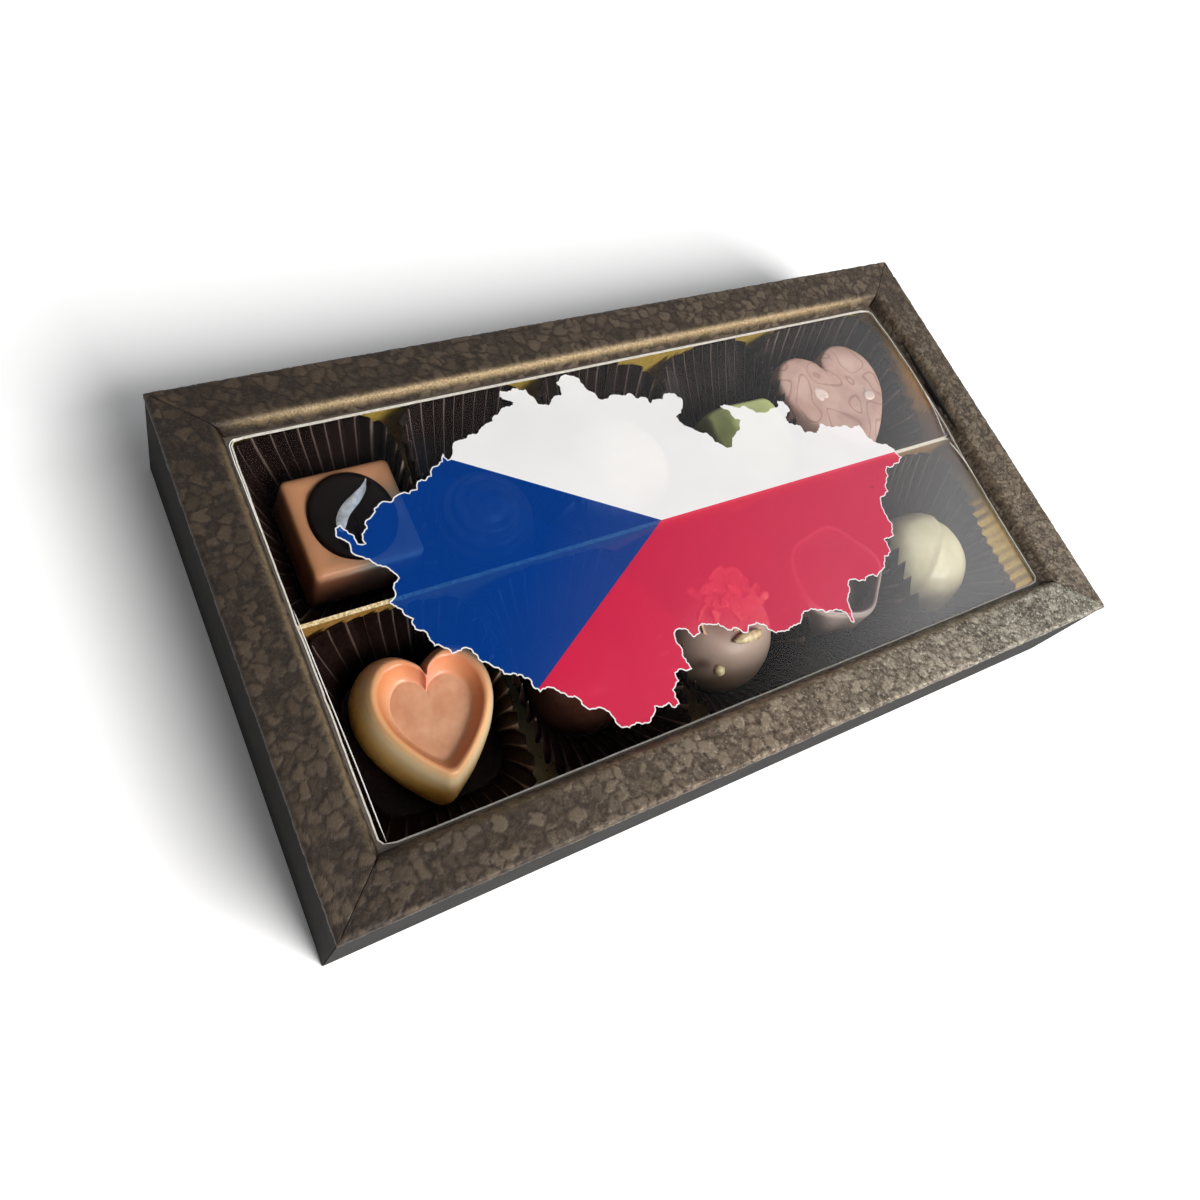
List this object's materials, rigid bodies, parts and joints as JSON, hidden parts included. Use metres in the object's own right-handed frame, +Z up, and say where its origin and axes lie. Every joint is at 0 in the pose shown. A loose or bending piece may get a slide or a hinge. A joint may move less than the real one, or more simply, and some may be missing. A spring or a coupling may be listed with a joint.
{
  "type": "chocolate box",
  "caption": "Shallow hollow-walled chocolate box with a lift-off framed window lid, a printed film, a gold-lined divided tray and filled pleated paper cups.",
  "frame": {"origin": "middle of the underside of the tray", "axes": "+X along the box, from the end with the square praline to the end with the white one; +Y from the front row to the back row; +Z up through the lid's window"},
  "size_m": [0.22, 0.124, 0.032],
  "materials": {
    "frame_paper": "bronze-brown embossed paper with a crackled grain and a metallic glint",
    "mount_card": "white mounting card",
    "clear_film": "clear film",
    "print_white": "white ink on film",
    "print_blue": "blue ink on film",
    "print_red": "red ink on film",
    "wall_card": "smooth charcoal paper over card",
    "pad_paper": "soft cushion paper",
    "gold_card": "gold foil card",
    "divider_card": "gold foil card with pale cut edges",
    "cup_paper": "dark brown pleated glassine",
    "milk_chocolate": "milk chocolate, satin",
    "dark_chocolate": "dark chocolate, glossy",
    "pale_glaze": "pale glossy glaze",
    "plain_chocolate": "dark milk chocolate, satin",
    "rose_chocolate": "pale rose chocolate, satin",
    "pistachio_coat": "pistachio green icing, satin",
    "marbled_chocolate": "marbled rose milk chocolate, satin",
    "dot_icing": "pale icing",
    "caramel_coat": "amber painted chocolate, glossy",
    "taupe_chocolate": "taupe milk chocolate, satin",
    "nut": "chopped pale nut",
    "crisp": "crisp flakes",
    "white_chocolate": "ivory white chocolate, glossy"
  },
  "bodies": {
    "tray": {"tray_floor": "wall_card", "wall_front": "wall_card", "wall_back": "wall_card", "wall_left": "wall_card", "wall_right": "wall_card", "cushion_pad": "pad_paper", "gold_sheet": "gold_card", "lining_front": "gold_card", "lining_back": "gold_card", "lining_left": "gold_card", "lining_right": "gold_card", "divider": "divider_card", "cup_back_1": "cup_paper", "cup_back_2": "cup_paper", "cup_back_3": "cup_paper", "cup_back_4": "cup_paper", "cup_back_5": "cup_paper", "cup_front_1": "cup_paper", "cup_front_2": "cup_paper", "cup_front_3": "cup_paper", "cup_front_4": "cup_paper", "cup_front_5": "cup_paper", "square_praline": "milk_chocolate", "bean_topping": "dark_chocolate", "bean_glaze": "pale_glaze", "swirl_praline": "plain_chocolate", "striped_praline": "rose_chocolate", "dome_stripes": "rose_chocolate", "pistachio_praline": "pistachio_coat", "marbled_heart": "marbled_chocolate", "heart_dots": "dot_icing", "caramel_heart": "caramel_coat", "caramel_filling": "caramel_coat", "plain_praline": "plain_chocolate", "nut_praline": "taupe_chocolate", "nut_pieces": "nut", "crisp_bits": "crisp", "dark_shell": "dark_chocolate", "shell_filling": "plain_chocolate", "white_praline": "white_chocolate"},
    "lid": {"frame_front": "frame_paper", "frame_back": "frame_paper", "frame_left": "frame_paper", "frame_right": "frame_paper", "window_mount": "mount_card", "window_film": "clear_film", "print_white": "print_white", "print_blue": "print_blue", "print_red": "print_red"}
  },
  "joints": [
    {"name": "lid_lift", "type": "slide", "parent": "tray", "child": "lid", "axis": [0, 0, 1], "range_m": [0, 0.06]}
  ]
}
